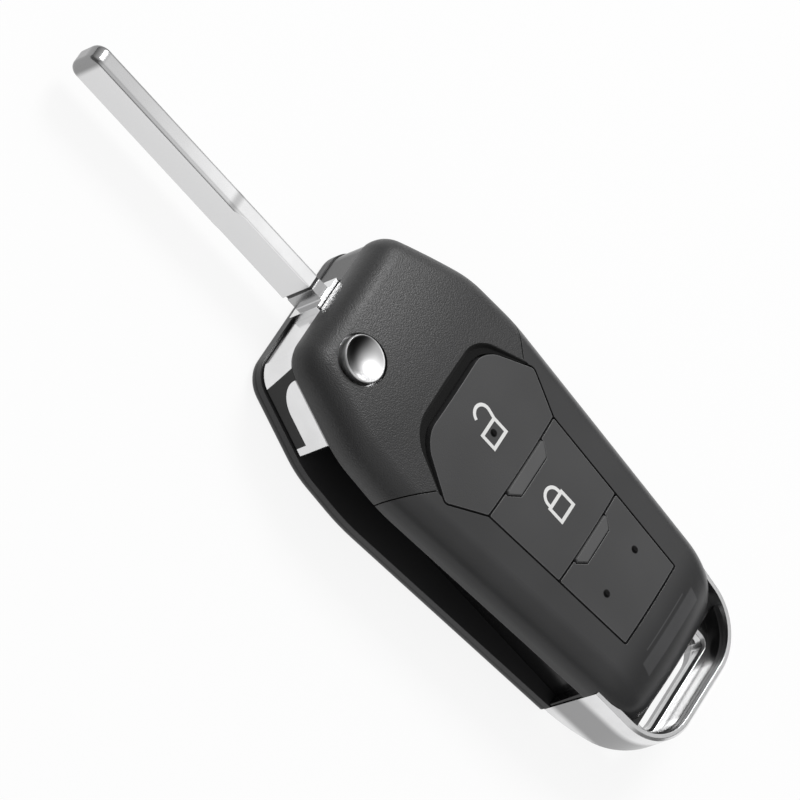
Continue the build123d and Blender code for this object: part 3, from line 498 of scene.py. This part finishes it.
@dataclass(frozen=True)
class MouldedPlastic:
    """Moulded plastic with a grain, faint flow marks and lighter, polished edges, whose lightness
    is partly worn surface and partly painted highlight.

    Attributes:
        name: the material's name.
        colour: colour of the open surface.
        roughness: roughness before the grain and the flow marks change it.
        grain: width of one speck of the grain.
        relief: depth of the grain.
        leather: how strongly pebbles show in the grain, 0 for none.
        wear_and_highlight: how much lighter the edges are, partly as worn surface and partly as
            painted highlight.
        gloss: strength of the reflections.
        soft_edge: radius that sharp edges are rounded to in the light.
        patches: blocks with painted shade or painted highlight, or a dark joint line.
        shaded_pips: middles of the pips, which get painted shade.
        grooved: whether the groove round the keypad runs through the piece and gets painted shade.
        grain_detail, grain_rough: finer layers of the grain, and its share in the roughness.
        flow_size, flow_detail, flow_rough, flow_dark: the flow marks' width, finer layers,
            share in the roughness, and factor on the colour.
        pebble_share, pebble_grain: width of a pebble over that of the grain, and how much of
            the fine grain stays on the pebbles.
        edge_reach, edge_light, edge_polish: how far the lighter edge, worn and with painted
            highlight,
        reaches, what it adds to the colour, and what it takes from the roughness.
        hollow_shade, hollow_rough: how much painted shade darkens a pip or the groove, and how much
            rougher they are.
    """

    name: str
    colour: Colour
    roughness: float
    grain: float
    relief: float
    leather: float = 0.0
    wear_and_highlight: float = 0.35
    gloss: float = 0.3
    soft_edge: float = 0.12 * MM
    patches: tuple[Patch, ...] = ()
    shaded_pips: tuple[Point, ...] = ()
    grooved: bool = False
    grain_detail: float = 4.0
    grain_rough: float = 0.10
    flow_size: float = 14.0 * MM
    flow_detail: float = 2.0
    flow_rough: float = 0.08
    flow_dark: float = 0.86
    pebble_share: float = 2.2
    pebble_grain: float = 0.35
    edge_reach: float = 0.25 * MM
    edge_light: float = 0.004
    edge_polish: float = 0.06
    hollow_shade: float = 0.96
    hollow_rough: float = 0.6

    def _hollow(self, graph: Graph) -> Number:
        """Marks the pips and the groove, which get painted shade.

        Args:
            graph: the material's graph.

        Returns:
            1 in a spot or deep in the groove, and 0 on open surface.
        """
        hollow: Number = 0.0
        if self.shaded_pips:
            hollow = graph.near(self.shaded_pips, PIP_RADIUS)
        if self.grooved:
            # The face is crowned, so the groove is what lies deeper than the crown's curve.
            crown = FACE_HEIGHT - graph.axis("X") ** 2.0 / (2.0 * CROWN_RADIUS)
            depth = crown - graph.axis("Z")
            low = (-GROOVE_HALF, GROOVE_START_Y, GROOVE_LOW_Z)
            high = (GROOVE_HALF, GROOVE_END_Y, GROOVE_HIGH_Z)
            inside = graph.within(low, high, (GROOVE_SOFT,) * 3)
            hollow = hollow + inside * depth.between(*GROOVE_DEPTHS)
        return hollow

    def _tone(self, graph: Graph, hollow: Number) -> Number:
        """Factor on the colour from the patches and the hollows: painted shade, painted highlight
        and the dark joint line.

        Args:
            graph: the material's graph.
            hollow: mark of the hollows.

        Returns:
            The factor, 1 where nothing applies.
        """
        # Painted shade: the pips and the groove are darkened in colour.
        tone = 1.0 - self.hollow_shade * hollow
        # Each patch scales the colour, as painted shade or painted highlight, or for the dark joint
        # line.
        for patch in self.patches:
            tone = tone + patch.mark(graph) * (patch.tone - 1.0)
        return tone

    def material(self) -> bpy.types.Material:
        """Builds the material.

        Returns:
            The material.
        """
        graph = Graph(bpy.data.materials.new(self.name))
        fine = graph.noise(self.grain, self.grain_detail)
        flow = graph.noise(self.flow_size, self.flow_detail)
        height = fine
        if self.leather > 0.0:
            pebbles = graph.cells(self.grain * self.pebble_share)
            height = fine * self.pebble_grain + (1.0 - pebbles) * self.leather
        edge = graph.edges(self.edge_reach)
        # Lighter edges: partly worn surface, partly painted highlight.
        light = tuple(channel * (1.0 + self.wear_and_highlight) + self.edge_light for channel in self.colour)
        dark = tuple(channel * self.flow_dark for channel in self.colour)
        body = graph.blend(flow.between(*BLOTCH_RANGE), dark, self.colour)
        colour = graph.blend(edge * self.wear_and_highlight, body, light)
        hollow = self._hollow(graph)
        tone = self._tone(graph, hollow)
        if isinstance(tone, Signal):
            colour = graph.shade(colour, tone)
        rough = self.roughness + (fine - MIDDLE) * self.grain_rough
        rough = rough + (flow - MIDDLE) * self.flow_rough - edge * self.edge_polish
        rough = rough + hollow * self.hollow_rough
        normal = graph.bump(height, self.relief, self.soft_edge)
        varied = {"Base Color": colour, "Roughness": rough, "Normal": normal}
        return graph.surface({"Specular IOR Level": self.gloss}, varied)


@dataclass(frozen=True)
class GroundMetal:
    """Metal with fine grinding lines, slight stains and brighter edges.

    Attributes:
        name: the material's name.
        colour: colour of the clean metal.
        roughness: roughness before the lines and the stains change it.
        lines: how closely the lines repeat along x, y and z; least along the grinding.
        line_size: width of one line.
        relief: depth of the lines.
        stain: how much darker the stains are.
        soft_edge: radius that sharp edges are rounded to in the light.
        patches: blocks with painted shade.
        line_detail, line_rough: finer layers of the lines, and their share in the roughness.
        cloud_size, cloud_detail, cloud_rough: the stains' width, finer layers, and share in
            the roughness.
        edge_reach, edge_light, edge_share: how far the bright edge reaches, its factor on
            the colour, and how much of it shows.
    """

    name: str
    colour: Colour
    roughness: float
    lines: Place = (1.0, 0.04, 1.0)
    line_size: float = 0.08 * MM
    relief: float = 0.0015 * MM
    stain: float = 0.08
    soft_edge: float = 0.12 * MM
    patches: tuple[Patch, ...] = ()
    line_detail: float = 3.0
    line_rough: float = 0.12
    cloud_size: float = 5.0 * MM
    cloud_detail: float = 3.0
    cloud_rough: float = 0.06
    edge_reach: float = 0.2 * MM
    edge_light: float = 1.08
    edge_share: float = 0.6

    def _shaded(self, graph: Graph, colour: Signal) -> Signal:
        """Paints shade into the metal inside each patch, as a darker colour.

        Args:
            graph: the material's graph.
            colour: the metal's colour.

        Returns:
            The shaded colour.
        """
        for patch in self.patches:
            dark = tuple(channel * patch.tone for channel in self.colour)
            colour = graph.blend(patch.mark(graph), colour, dark)
        return colour

    def material(self) -> bpy.types.Material:
        """Builds the material.

        Returns:
            The material.
        """
        graph = Graph(bpy.data.materials.new(self.name))
        lines = graph.noise(self.line_size, self.line_detail, graph.stretched(self.lines))
        cloud = graph.noise(self.cloud_size, self.cloud_detail)
        edge = graph.edges(self.edge_reach)
        dark = tuple(channel * (1.0 - self.stain) for channel in self.colour)
        bright = tuple(min(1.0, channel * self.edge_light) for channel in self.colour)
        body = graph.blend(cloud.between(*BLOTCH_RANGE), dark, self.colour)
        colour = self._shaded(graph, graph.blend(edge * self.edge_share, body, bright))
        rough = self.roughness + (lines - MIDDLE) * self.line_rough
        rough = rough + (cloud - MIDDLE) * self.cloud_rough
        normal = graph.bump(lines, self.relief, self.soft_edge)
        varied = {"Base Color": colour, "Roughness": rough, "Normal": normal}
        return graph.surface({"Metallic": 1.0}, varied)


@dataclass(frozen=True)
class DishedMetal(GroundMetal):
    """Metal of a round dished button, with painted shade on its wall.

    Attributes:
        middle: middle of the button, seen from above.
        dish_radius: radius of the dish.
        dish_rim: width over which the wall's painted shade sets in.
        wall_shade: factor on the wall's colour, as painted shade.
    """

    middle: Point = (-7.0 * MM, 31.2 * MM)
    dish_radius: float = 3.1 * MM
    dish_rim: float = 0.1 * MM
    wall_shade: float = 0.9

    def _shaded(self, graph: Graph, colour: Signal) -> Signal:
        """Paints shade into the patches and onto the wall round the dish.

        Args:
            graph: the material's graph.
            colour: the metal's colour.

        Returns:
            The shaded colour.
        """
        away = graph.away(self.middle)
        # Painted shade on the dish's wall.
        wall = away.between(self.dish_radius, self.dish_radius + self.dish_rim)
        dark = tuple(channel * self.wall_shade for channel in self.colour)
        return graph.blend(wall, super()._shaded(graph, colour), dark)


class Finish(Enum):
    """Finishes of the key's pieces."""

    COVER_GRAINED = MouldedPlastic(
        "cover_grained", (0.021, 0.021, 0.0215), roughness=0.41, grain=0.095 * MM,
        relief=0.045 * MM, leather=0.7, gloss=0.52, grooved=True,
    )
    COVER_SMOOTH = MouldedPlastic(
        "cover_smooth", (0.044, 0.044, 0.045), roughness=0.32, grain=0.12 * MM,
        relief=0.0015 * MM, patches=(BEZEL_HIGHLIGHT_BAND, BEZEL_HIGHLIGHT_LINE),
    )
    COVER_BACK = MouldedPlastic(
        "cover_back", (0.036, 0.036, 0.037), roughness=0.36, grain=0.15 * MM,
        relief=0.003 * MM, patches=(BACK_LINE,),
    )
    FRAME_BLACK = MouldedPlastic(
        "frame_black", (0.013, 0.013, 0.0135), roughness=0.22, grain=0.2 * MM,
        relief=0.0008 * MM,
    )
    # On the pads the lighter edges are mostly painted highlight.
    UNLOCK_PAD = MouldedPlastic(
        "unlock_pad_plastic", (0.058, 0.058, 0.059), roughness=0.42, grain=0.1 * MM,
        relief=0.02 * MM, leather=0.4, wear_and_highlight=1.6, shaded_pips=(UNLOCK_PIP,),
    )
    PAD = MouldedPlastic(
        "pad_plastic", (0.058, 0.058, 0.059), roughness=0.38, grain=0.12 * MM,
        relief=0.002 * MM, wear_and_highlight=1.6, shaded_pips=BLANK_PIPS,
    )
    MEMBRANE = MouldedPlastic(
        "membrane_grey", (0.095, 0.095, 0.096), roughness=0.45, grain=0.15 * MM,
        relief=0.003 * MM,
    )
    CORE = MouldedPlastic(
        "core_black", (0.008, 0.008, 0.008), roughness=0.3, grain=0.2 * MM, relief=0.002 * MM
    )
    CHIP = MouldedPlastic(
        "chip_black", (0.012, 0.012, 0.013), roughness=0.55, grain=0.08 * MM, relief=0.004 * MM
    )
    BOARD = MouldedPlastic(
        "board_green", (0.012, 0.09, 0.035), roughness=0.3, grain=0.3 * MM, relief=0.004 * MM
    )
    MARK = MouldedPlastic(
        "mark_white", (0.85, 0.85, 0.84), roughness=0.55, grain=0.06 * MM,
        relief=0.002 * MM, wear_and_highlight=0.0, soft_edge=0.0,
    )
    BLADE = GroundMetal(
        "blade_steel", (0.95, 0.95, 0.955), roughness=0.2, lines=(1.0, 0.05, 1.0),
        soft_edge=0.05 * MM, patches=(
            BLADE_SIDES_SHADE, BLADE_TIP_SHADE, BLADE_STEP_SHADE, BLADE_NOSE_SHADE, COLLAR_GROOVE_SHADE, COLLAR_SHADE,
        ),
    )
    HUB = GroundMetal(
        "hub_metal", (0.8, 0.8, 0.805), roughness=0.18, lines=EVEN, line_size=0.15 * MM
    )
    BUTTON = DishedMetal(
        "button_metal", (0.8, 0.8, 0.805), roughness=0.34, lines=EVEN, line_size=0.12 * MM,
        soft_edge=0.04 * MM, patches=(BUTTON_SHADE,),
    )
    LOOP = GroundMetal(
        "loop_chrome", (0.82, 0.82, 0.825), roughness=0.22, lines=EVEN, line_size=0.12 * MM,
        patches=(LOOP_WALL_SHADE, LOOP_LEDGE_SHADE),
    )
    SPRING = GroundMetal("spring_steel", (0.55, 0.56, 0.58), roughness=0.3)
    SHEET_STEEL = GroundMetal("sheet_steel", (0.62, 0.63, 0.64), roughness=0.3)
    BRASS = GroundMetal("contact_brass", (0.72, 0.56, 0.27), roughness=0.3)
    COPPER = GroundMetal(
        "coil_copper", (0.72, 0.36, 0.2), roughness=0.35, lines=(0.05, 1.0, 1.0)
    )


class Materials:
    """Builds each finish once."""

    def __init__(self) -> None:
        """Starts with no finish built."""
        self._made: dict[Finish, bpy.types.Material] = {}

    def get(self, finish: Finish) -> bpy.types.Material:
        """Gives a finish's material, building it the first time.

        Args:
            finish: the finish wanted.

        Returns:
            Its material.
        """
        if finish not in self._made:
            self._made[finish] = finish.value.material()
        return self._made[finish]


def dress_node(node: str, material: bpy.types.Material) -> None:
    """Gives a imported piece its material.

    Args:
        node: the piece's name.
        material: the material for all its slots.
    """
    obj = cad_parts[node]
    obj.data.materials.clear()
    obj.data.materials.append(material)
    LOG.info("dressed %s with %s", node, material.name)


def mesh_piece(
    name: str, mesh: bmesh.types.BMesh, material: bpy.types.Material
) -> bpy.types.Object:
    """Turns built geometry into an object.

    Args:
        name: the piece's name.
        mesh: its geometry, which is freed.
        material: its material.

    Returns:
        The new object, linked to the scene.
    """
    data = bpy.data.meshes.new(name)
    mesh.to_mesh(data)
    mesh.free()
    data.materials.append(material)
    obj = bpy.data.objects.new(name, data)
    bpy.context.scene.collection.objects.link(obj)
    return obj


@dataclass
class PieceGroup:
    """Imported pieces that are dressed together."""

    materials: Materials
    finishes: dict[str, Finish] = field(default_factory=dict)

    def dress(self) -> None:
        """Gives every piece of the group its finish."""
        for node, finish in self.finishes.items():
            dress_node(node, self.materials.get(finish))


@dataclass
class PaintedCase(PieceGroup):
    """The case: covers, middle frame, loop and what is sealed inside."""

    finishes: dict[str, Finish] = field(default_factory=lambda: {
        "front_cover": Finish.COVER_GRAINED,
        "keypad_bezel": Finish.COVER_SMOOTH,
        "back_cover": Finish.COVER_BACK,
        "chassis": Finish.FRAME_BLACK,
        "chrome_loop": Finish.LOOP,
        "circuit_board": Finish.BOARD,
        "unlock_switch": Finish.SHEET_STEEL,
        "lock_switch": Finish.SHEET_STEEL,
        "radio_chip": Finish.CHIP,
        "controller_chip": Finish.CHIP,
        "crystal_can": Finish.SHEET_STEEL,
        "transponder_chip": Finish.CHIP,
        "antenna_coil": Finish.COPPER,
        "coin_cell": Finish.SHEET_STEEL,
        "cell_contact_plus": Finish.BRASS,
        "cell_contact_minus": Finish.BRASS,
    })


@dataclass
class BladeArm(PieceGroup):
    """The swinging blade, its carrier, the springs and the release button."""

    finishes: dict[str, Finish] = field(default_factory=lambda: {
        "blade": Finish.BLADE,
        "blade_hub": Finish.HUB,
        "hub_core": Finish.CORE,
        "blade_pin": Finish.SPRING,
        "flip_spring": Finish.SPRING,
        "release_spring": Finish.SPRING,
        "release_button": Finish.BUTTON,
    })


class Lock(Enum):
    """Whether a padlock mark is drawn open or closed."""

    OPEN = "open"
    CLOSED = "closed"


@dataclass
class PadlockMark:
    """A generic padlock printed on a pad, drawn as a thin raised line.

    Attributes:
        name: the mark's name.
        body: the moving body that it rides on.
        low_y: y of the padlock's lower edge.
        state: whether it is open or closed.
        half_width, height: half of the width, and the height, of the padlock's body.
        stroke, thickness: width and thickness of the line.
        shackle_half, shackle_rise: radius of the shackle's bow, and its height closed.
        swing: from the hinged foot to the middle of the open bow.
        closed_bow, open_bow: first and last angle of the bow, in degrees.
        shackle_lift: the shackle's height over the pad, as a share of the thickness.
        arc_steps: straight pieces in the bow.
    """

    name: str
    body: str
    low_y: float
    state: Lock
    half_width: float = 1.95 * MM
    height: float = 2.95 * MM
    stroke: float = 0.5 * MM
    thickness: float = 0.02 * MM
    shackle_half: float = 1.4 * MM
    shackle_rise: float = 1.9 * MM
    swing: Point = (-1.0 * MM, 1.6 * MM)
    closed_bow: Point = (0.0, 180.0)
    open_bow: Point = (-20.0, 165.0)
    shackle_lift: float = 0.4
    arc_steps: int = 14

    def _arc(self, centre: Point, angles: Point) -> list[Point]:
        """Points along the shackle's bow.

        Args:
            centre: the bow's centre.
            angles: angle of the first and of the last point, in degrees.

        Returns:
            The points, both ends included.
        """
        start, end = angles
        points = []
        for i in range(self.arc_steps + 1):
            angle = math.radians(start + (end - start) * i / self.arc_steps)
            x = centre[0] + self.shackle_half * math.cos(angle)
            points.append((x, centre[1] + self.shackle_half * math.sin(angle)))
        return points

    def _outline(self) -> list[Point]:
        """Middle line of the padlock's body.

        Returns:
            Its corners, as a closed path.
        """
        half = self.half_width - self.stroke / 2
        low = self.low_y + self.stroke / 2
        high = self.low_y + self.height - self.stroke / 2
        return [(half, low), (half, high), (-half, high), (-half, low)]

    def _shackle(self) -> list[Point]:
        """Middle line of the shackle.

        Returns:
            Its points, from the right foot on.
        """
        foot = self.low_y + self.height - self.stroke / 2
        if self.state is Lock.CLOSED:
            turn = foot + self.shackle_rise - self.shackle_half
            bow = self._arc((0.0, turn), self.closed_bow)
            return [(self.shackle_half, foot), *bow, (-self.shackle_half, foot)]
        hinge = self.half_width - self.stroke / 2
        centre = (hinge + self.swing[0], foot + self.swing[1])
        return [(hinge, foot), *self._arc(centre, self.open_bow)]

    def _ribbon(
        self, mesh: bmesh.types.BMesh, path: list[Point], closed: bool, top_z: float
    ) -> None:
        """Adds a flat ribbon with a small thickness along a path.

        Args:
            mesh: geometry to add to.
            path: middle line.
            closed: whether the path ends where it starts.
            top_z: height of the ribbon's face.
        """
        count = len(path)
        rings = []
        for i, point in enumerate(path):
            here = Vector(point)
            before = Vector(path[i - 1]) if closed or i > 0 else None
            after = Vector(path[(i + 1) % count]) if closed or i < count - 1 else None
            arriving = (here - before).normalized() if before else (after - here).normalized()
            leaving = (after - here).normalized() if after else arriving
            along = (arriving + leaving).normalized()
            mitre = self.stroke / 2 / along.dot(leaving)
            side = Vector((-along.y, along.x)) * mitre
            left, right = here + side, here - side
            low_z = top_z - self.thickness
            corners = ((left, top_z), (right, top_z), (right, low_z), (left, low_z))
            rings.append([mesh.verts.new((corner.x, corner.y, z)) for corner, z in corners])
        spans = count if closed else count - 1
        for i in range(spans):
            first, second = rings[i], rings[(i + 1) % count]
            for k, corner in enumerate(first):
                following = (k + 1) % len(first)
                mesh.faces.new((corner, first[following], second[following], second[k]))
        if not closed:
            mesh.faces.new(reversed(rings[0]))
            mesh.faces.new(rings[-1])

    def build(self, materials: Materials, face_z: float) -> bpy.types.Object:
        """Builds the mark on its pad.

        Args:
            materials: where its finish comes from.
            face_z: height of the pad's face.

        Returns:
            The mark.
        """
        mesh = bmesh.new()
        self._ribbon(mesh, self._outline(), True, face_z + self.thickness / 2)
        self._ribbon(mesh, self._shackle(), False, face_z + self.thickness * self.shackle_lift)
        bmesh.ops.recalc_face_normals(mesh, faces=mesh.faces)
        obj = mesh_piece(self.name, mesh, materials.get(Finish.MARK))
        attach(obj, self.body)
        LOG.info("built %s on %s", self.name, self.body)
        return obj


@dataclass
class Keypad(PieceGroup):
    """Pads, the ridges between them and the printed marks."""

    finishes: dict[str, Finish] = field(default_factory=lambda: {
        "unlock_button": Finish.UNLOCK_PAD,
        "lock_button": Finish.PAD,
        "blank_pad": Finish.PAD,
        "keypad_membrane": Finish.MEMBRANE,
    })
    face_z: float = FACE_HEIGHT
    unlock_mark_y: float = 8.9 * MM
    lock_mark_y: float = -4.85 * MM

    def print_marks(self) -> None:
        """Prints the two padlocks."""
        marks = (
            PadlockMark("open_padlock_mark", "unlock_key", self.unlock_mark_y, Lock.OPEN),
            PadlockMark("closed_padlock_mark", "lock_key", self.lock_mark_y, Lock.CLOSED),
        )
        for mark in marks:
            mark.build(self.materials, self.face_z)


@dataclass
class Studio:
    """White floor, one soft lamp, a sky with a bright and a dark part, and the camera.

    Attributes:
        camera_place, camera_turn: the camera's place, and its turn in degrees.
        lens, camera_reach: its lens in millimetres, and the farthest that it sees.
        sky_toward, card_toward, flag_toward: directions of the bright sky, the pale card
            and the dark flag.
        sky_spread, card_spread, flag_spread: how well a direction agrees with these where
            each sets in, and where it is full.
        sky_low, sky_high, card_light, flag_light: brightness of the plain sky, the bright
            sky, the card and the flag.
        floor_glow, floor_tone: share of the floor that glows where it is seen, and the tone
            of the rest.
        floor_size, floor_gap: half of the floor's width, and its distance under the key.
        lamp_place, lamp_target: the lamp's place, and what it points at.
        lamp_size, lamp_power: width of its face, and its power in watts.
    """

    camera_place: Place = (-730.097 * MM, 399.450 * MM, 931.418 * MM)
    camera_turn: Place = (18.0502, -38.1668, -55.2628)
    lens: float = 424.638
    camera_reach: float = 10.0
    sky_toward: Place = (0.55, 0.15, 0.82)
    sky_spread: Point = (0.4, 0.95)
    sky_low: float = 0.2
    sky_high: float = 0.95
    card_toward: Place = (-0.6, -0.3, 0.74)
    card_spread: Point = (0.8, 0.95)
    card_light: float = 0.75
    flag_toward: Place = (0.55, -0.83, 0.0)
    flag_spread: Point = (0.6, 0.95)
    flag_light: float = 0.02
    floor_glow: float = 0.88
    floor_tone: float = 0.9
    floor_size: float = 3.0
    floor_gap: float = 0.05 * MM
    lamp_place: Place = (0.75, 0.28, 0.95)
    lamp_target: Place = (0.0, 0.01, 0.01)
    lamp_size: float = 0.4
    lamp_power: float = 7.8

    def floor(self) -> bpy.types.Object:
        """Lays the floor under the key, white to the camera and in reflections.

        Returns:
            The floor.
        """
        graph = Graph(bpy.data.materials.new("pale_floor"))
        camera, glossy, through = [
            graph.node("ShaderNodeLightPath", {}, {}, f"Is {ray} Ray")
            for ray in ("Camera", "Glossy", "Transmission")
        ]
        glow = graph.node("ShaderNodeEmission", {}, {"Color": WHITE, "Strength": 1.0})
        matt_colour = (*(self.floor_tone,) * 3, 1.0)
        matt = graph.node("ShaderNodeBsdfDiffuse", {}, {"Color": matt_colour})
        share = (camera + glossy + through) * self.floor_glow
        graph.close(graph.node("ShaderNodeMixShader", {}, {0: share, 1: matt, 2: glow}))
        mesh = bmesh.new()
        bmesh.ops.create_grid(mesh, x_segments=1, y_segments=1, size=self.floor_size)
        floor = mesh_piece("floor", mesh, graph.owner)
        floor.location.z = -self.floor_gap
        return floor

    def world(self) -> None:
        """Lights the key from a broad bright part of the sky, with a pale card and a dark flag."""
        graph = Graph(bpy.data.worlds.new("studio_world"))
        way = graph.node("ShaderNodeTexCoord", {}, {}, "Generated")
        bright = graph.facing(way, self.sky_toward).between(*self.sky_spread)
        card = graph.facing(way, self.card_toward).between(*self.card_spread)
        flag = graph.facing(way, self.flag_toward).between(*self.flag_spread)
        sky = graph.blend(bright, (self.sky_low,) * 3, (self.sky_high,) * 3)
        sky = graph.blend(card, sky, (self.card_light,) * 3)
        sky = graph.blend(flag, sky, (self.flag_light,) * 3)
        graph.close(graph.node("ShaderNodeBackground", {}, {"Color": sky}), "ShaderNodeOutputWorld")
        bpy.context.scene.world = graph.owner

    def lamp(self) -> None:
        """Hangs one soft lamp and points it at the key."""
        data = bpy.data.lights.new("key_lamp", "AREA")
        data.size = self.lamp_size
        data.energy = self.lamp_power
        lamp = bpy.data.objects.new("key_lamp", data)
        lamp.location = self.lamp_place
        way = Vector(self.lamp_target) - Vector(self.lamp_place)
        lamp.rotation_euler = way.to_track_quat("-Z", "Y").to_euler()
        bpy.context.scene.collection.objects.link(lamp)

    def camera(self) -> None:
        """Places the camera at the photograph's angle."""
        data = bpy.data.cameras.new("camera")
        data.lens = self.lens
        data.clip_end = self.camera_reach
        camera = bpy.data.objects.new("camera", data)
        camera.location = self.camera_place
        camera.rotation_euler = Euler([math.radians(turn) for turn in self.camera_turn], "XYZ")
        bpy.context.scene.collection.objects.link(camera)
        bpy.context.scene.camera = camera

    def build(self) -> None:
        """Sets up the studio."""
        self.camera()
        self.floor()
        self.world()
        self.lamp()
        bpy.context.scene.view_settings.view_transform = "Standard"
        LOG.info("built the studio")


def main() -> None:
    """Builds the studio and dresses the key, piece by piece."""
    logging.basicConfig(level=logging.INFO, format="%(name)s: %(message)s")
    materials = Materials()
    Studio().build()
    PaintedCase(materials).dress()
    BladeArm(materials).dress()
    keypad = Keypad(materials)
    keypad.dress()
    keypad.print_marks()


if __name__ == "__main__":
    main()
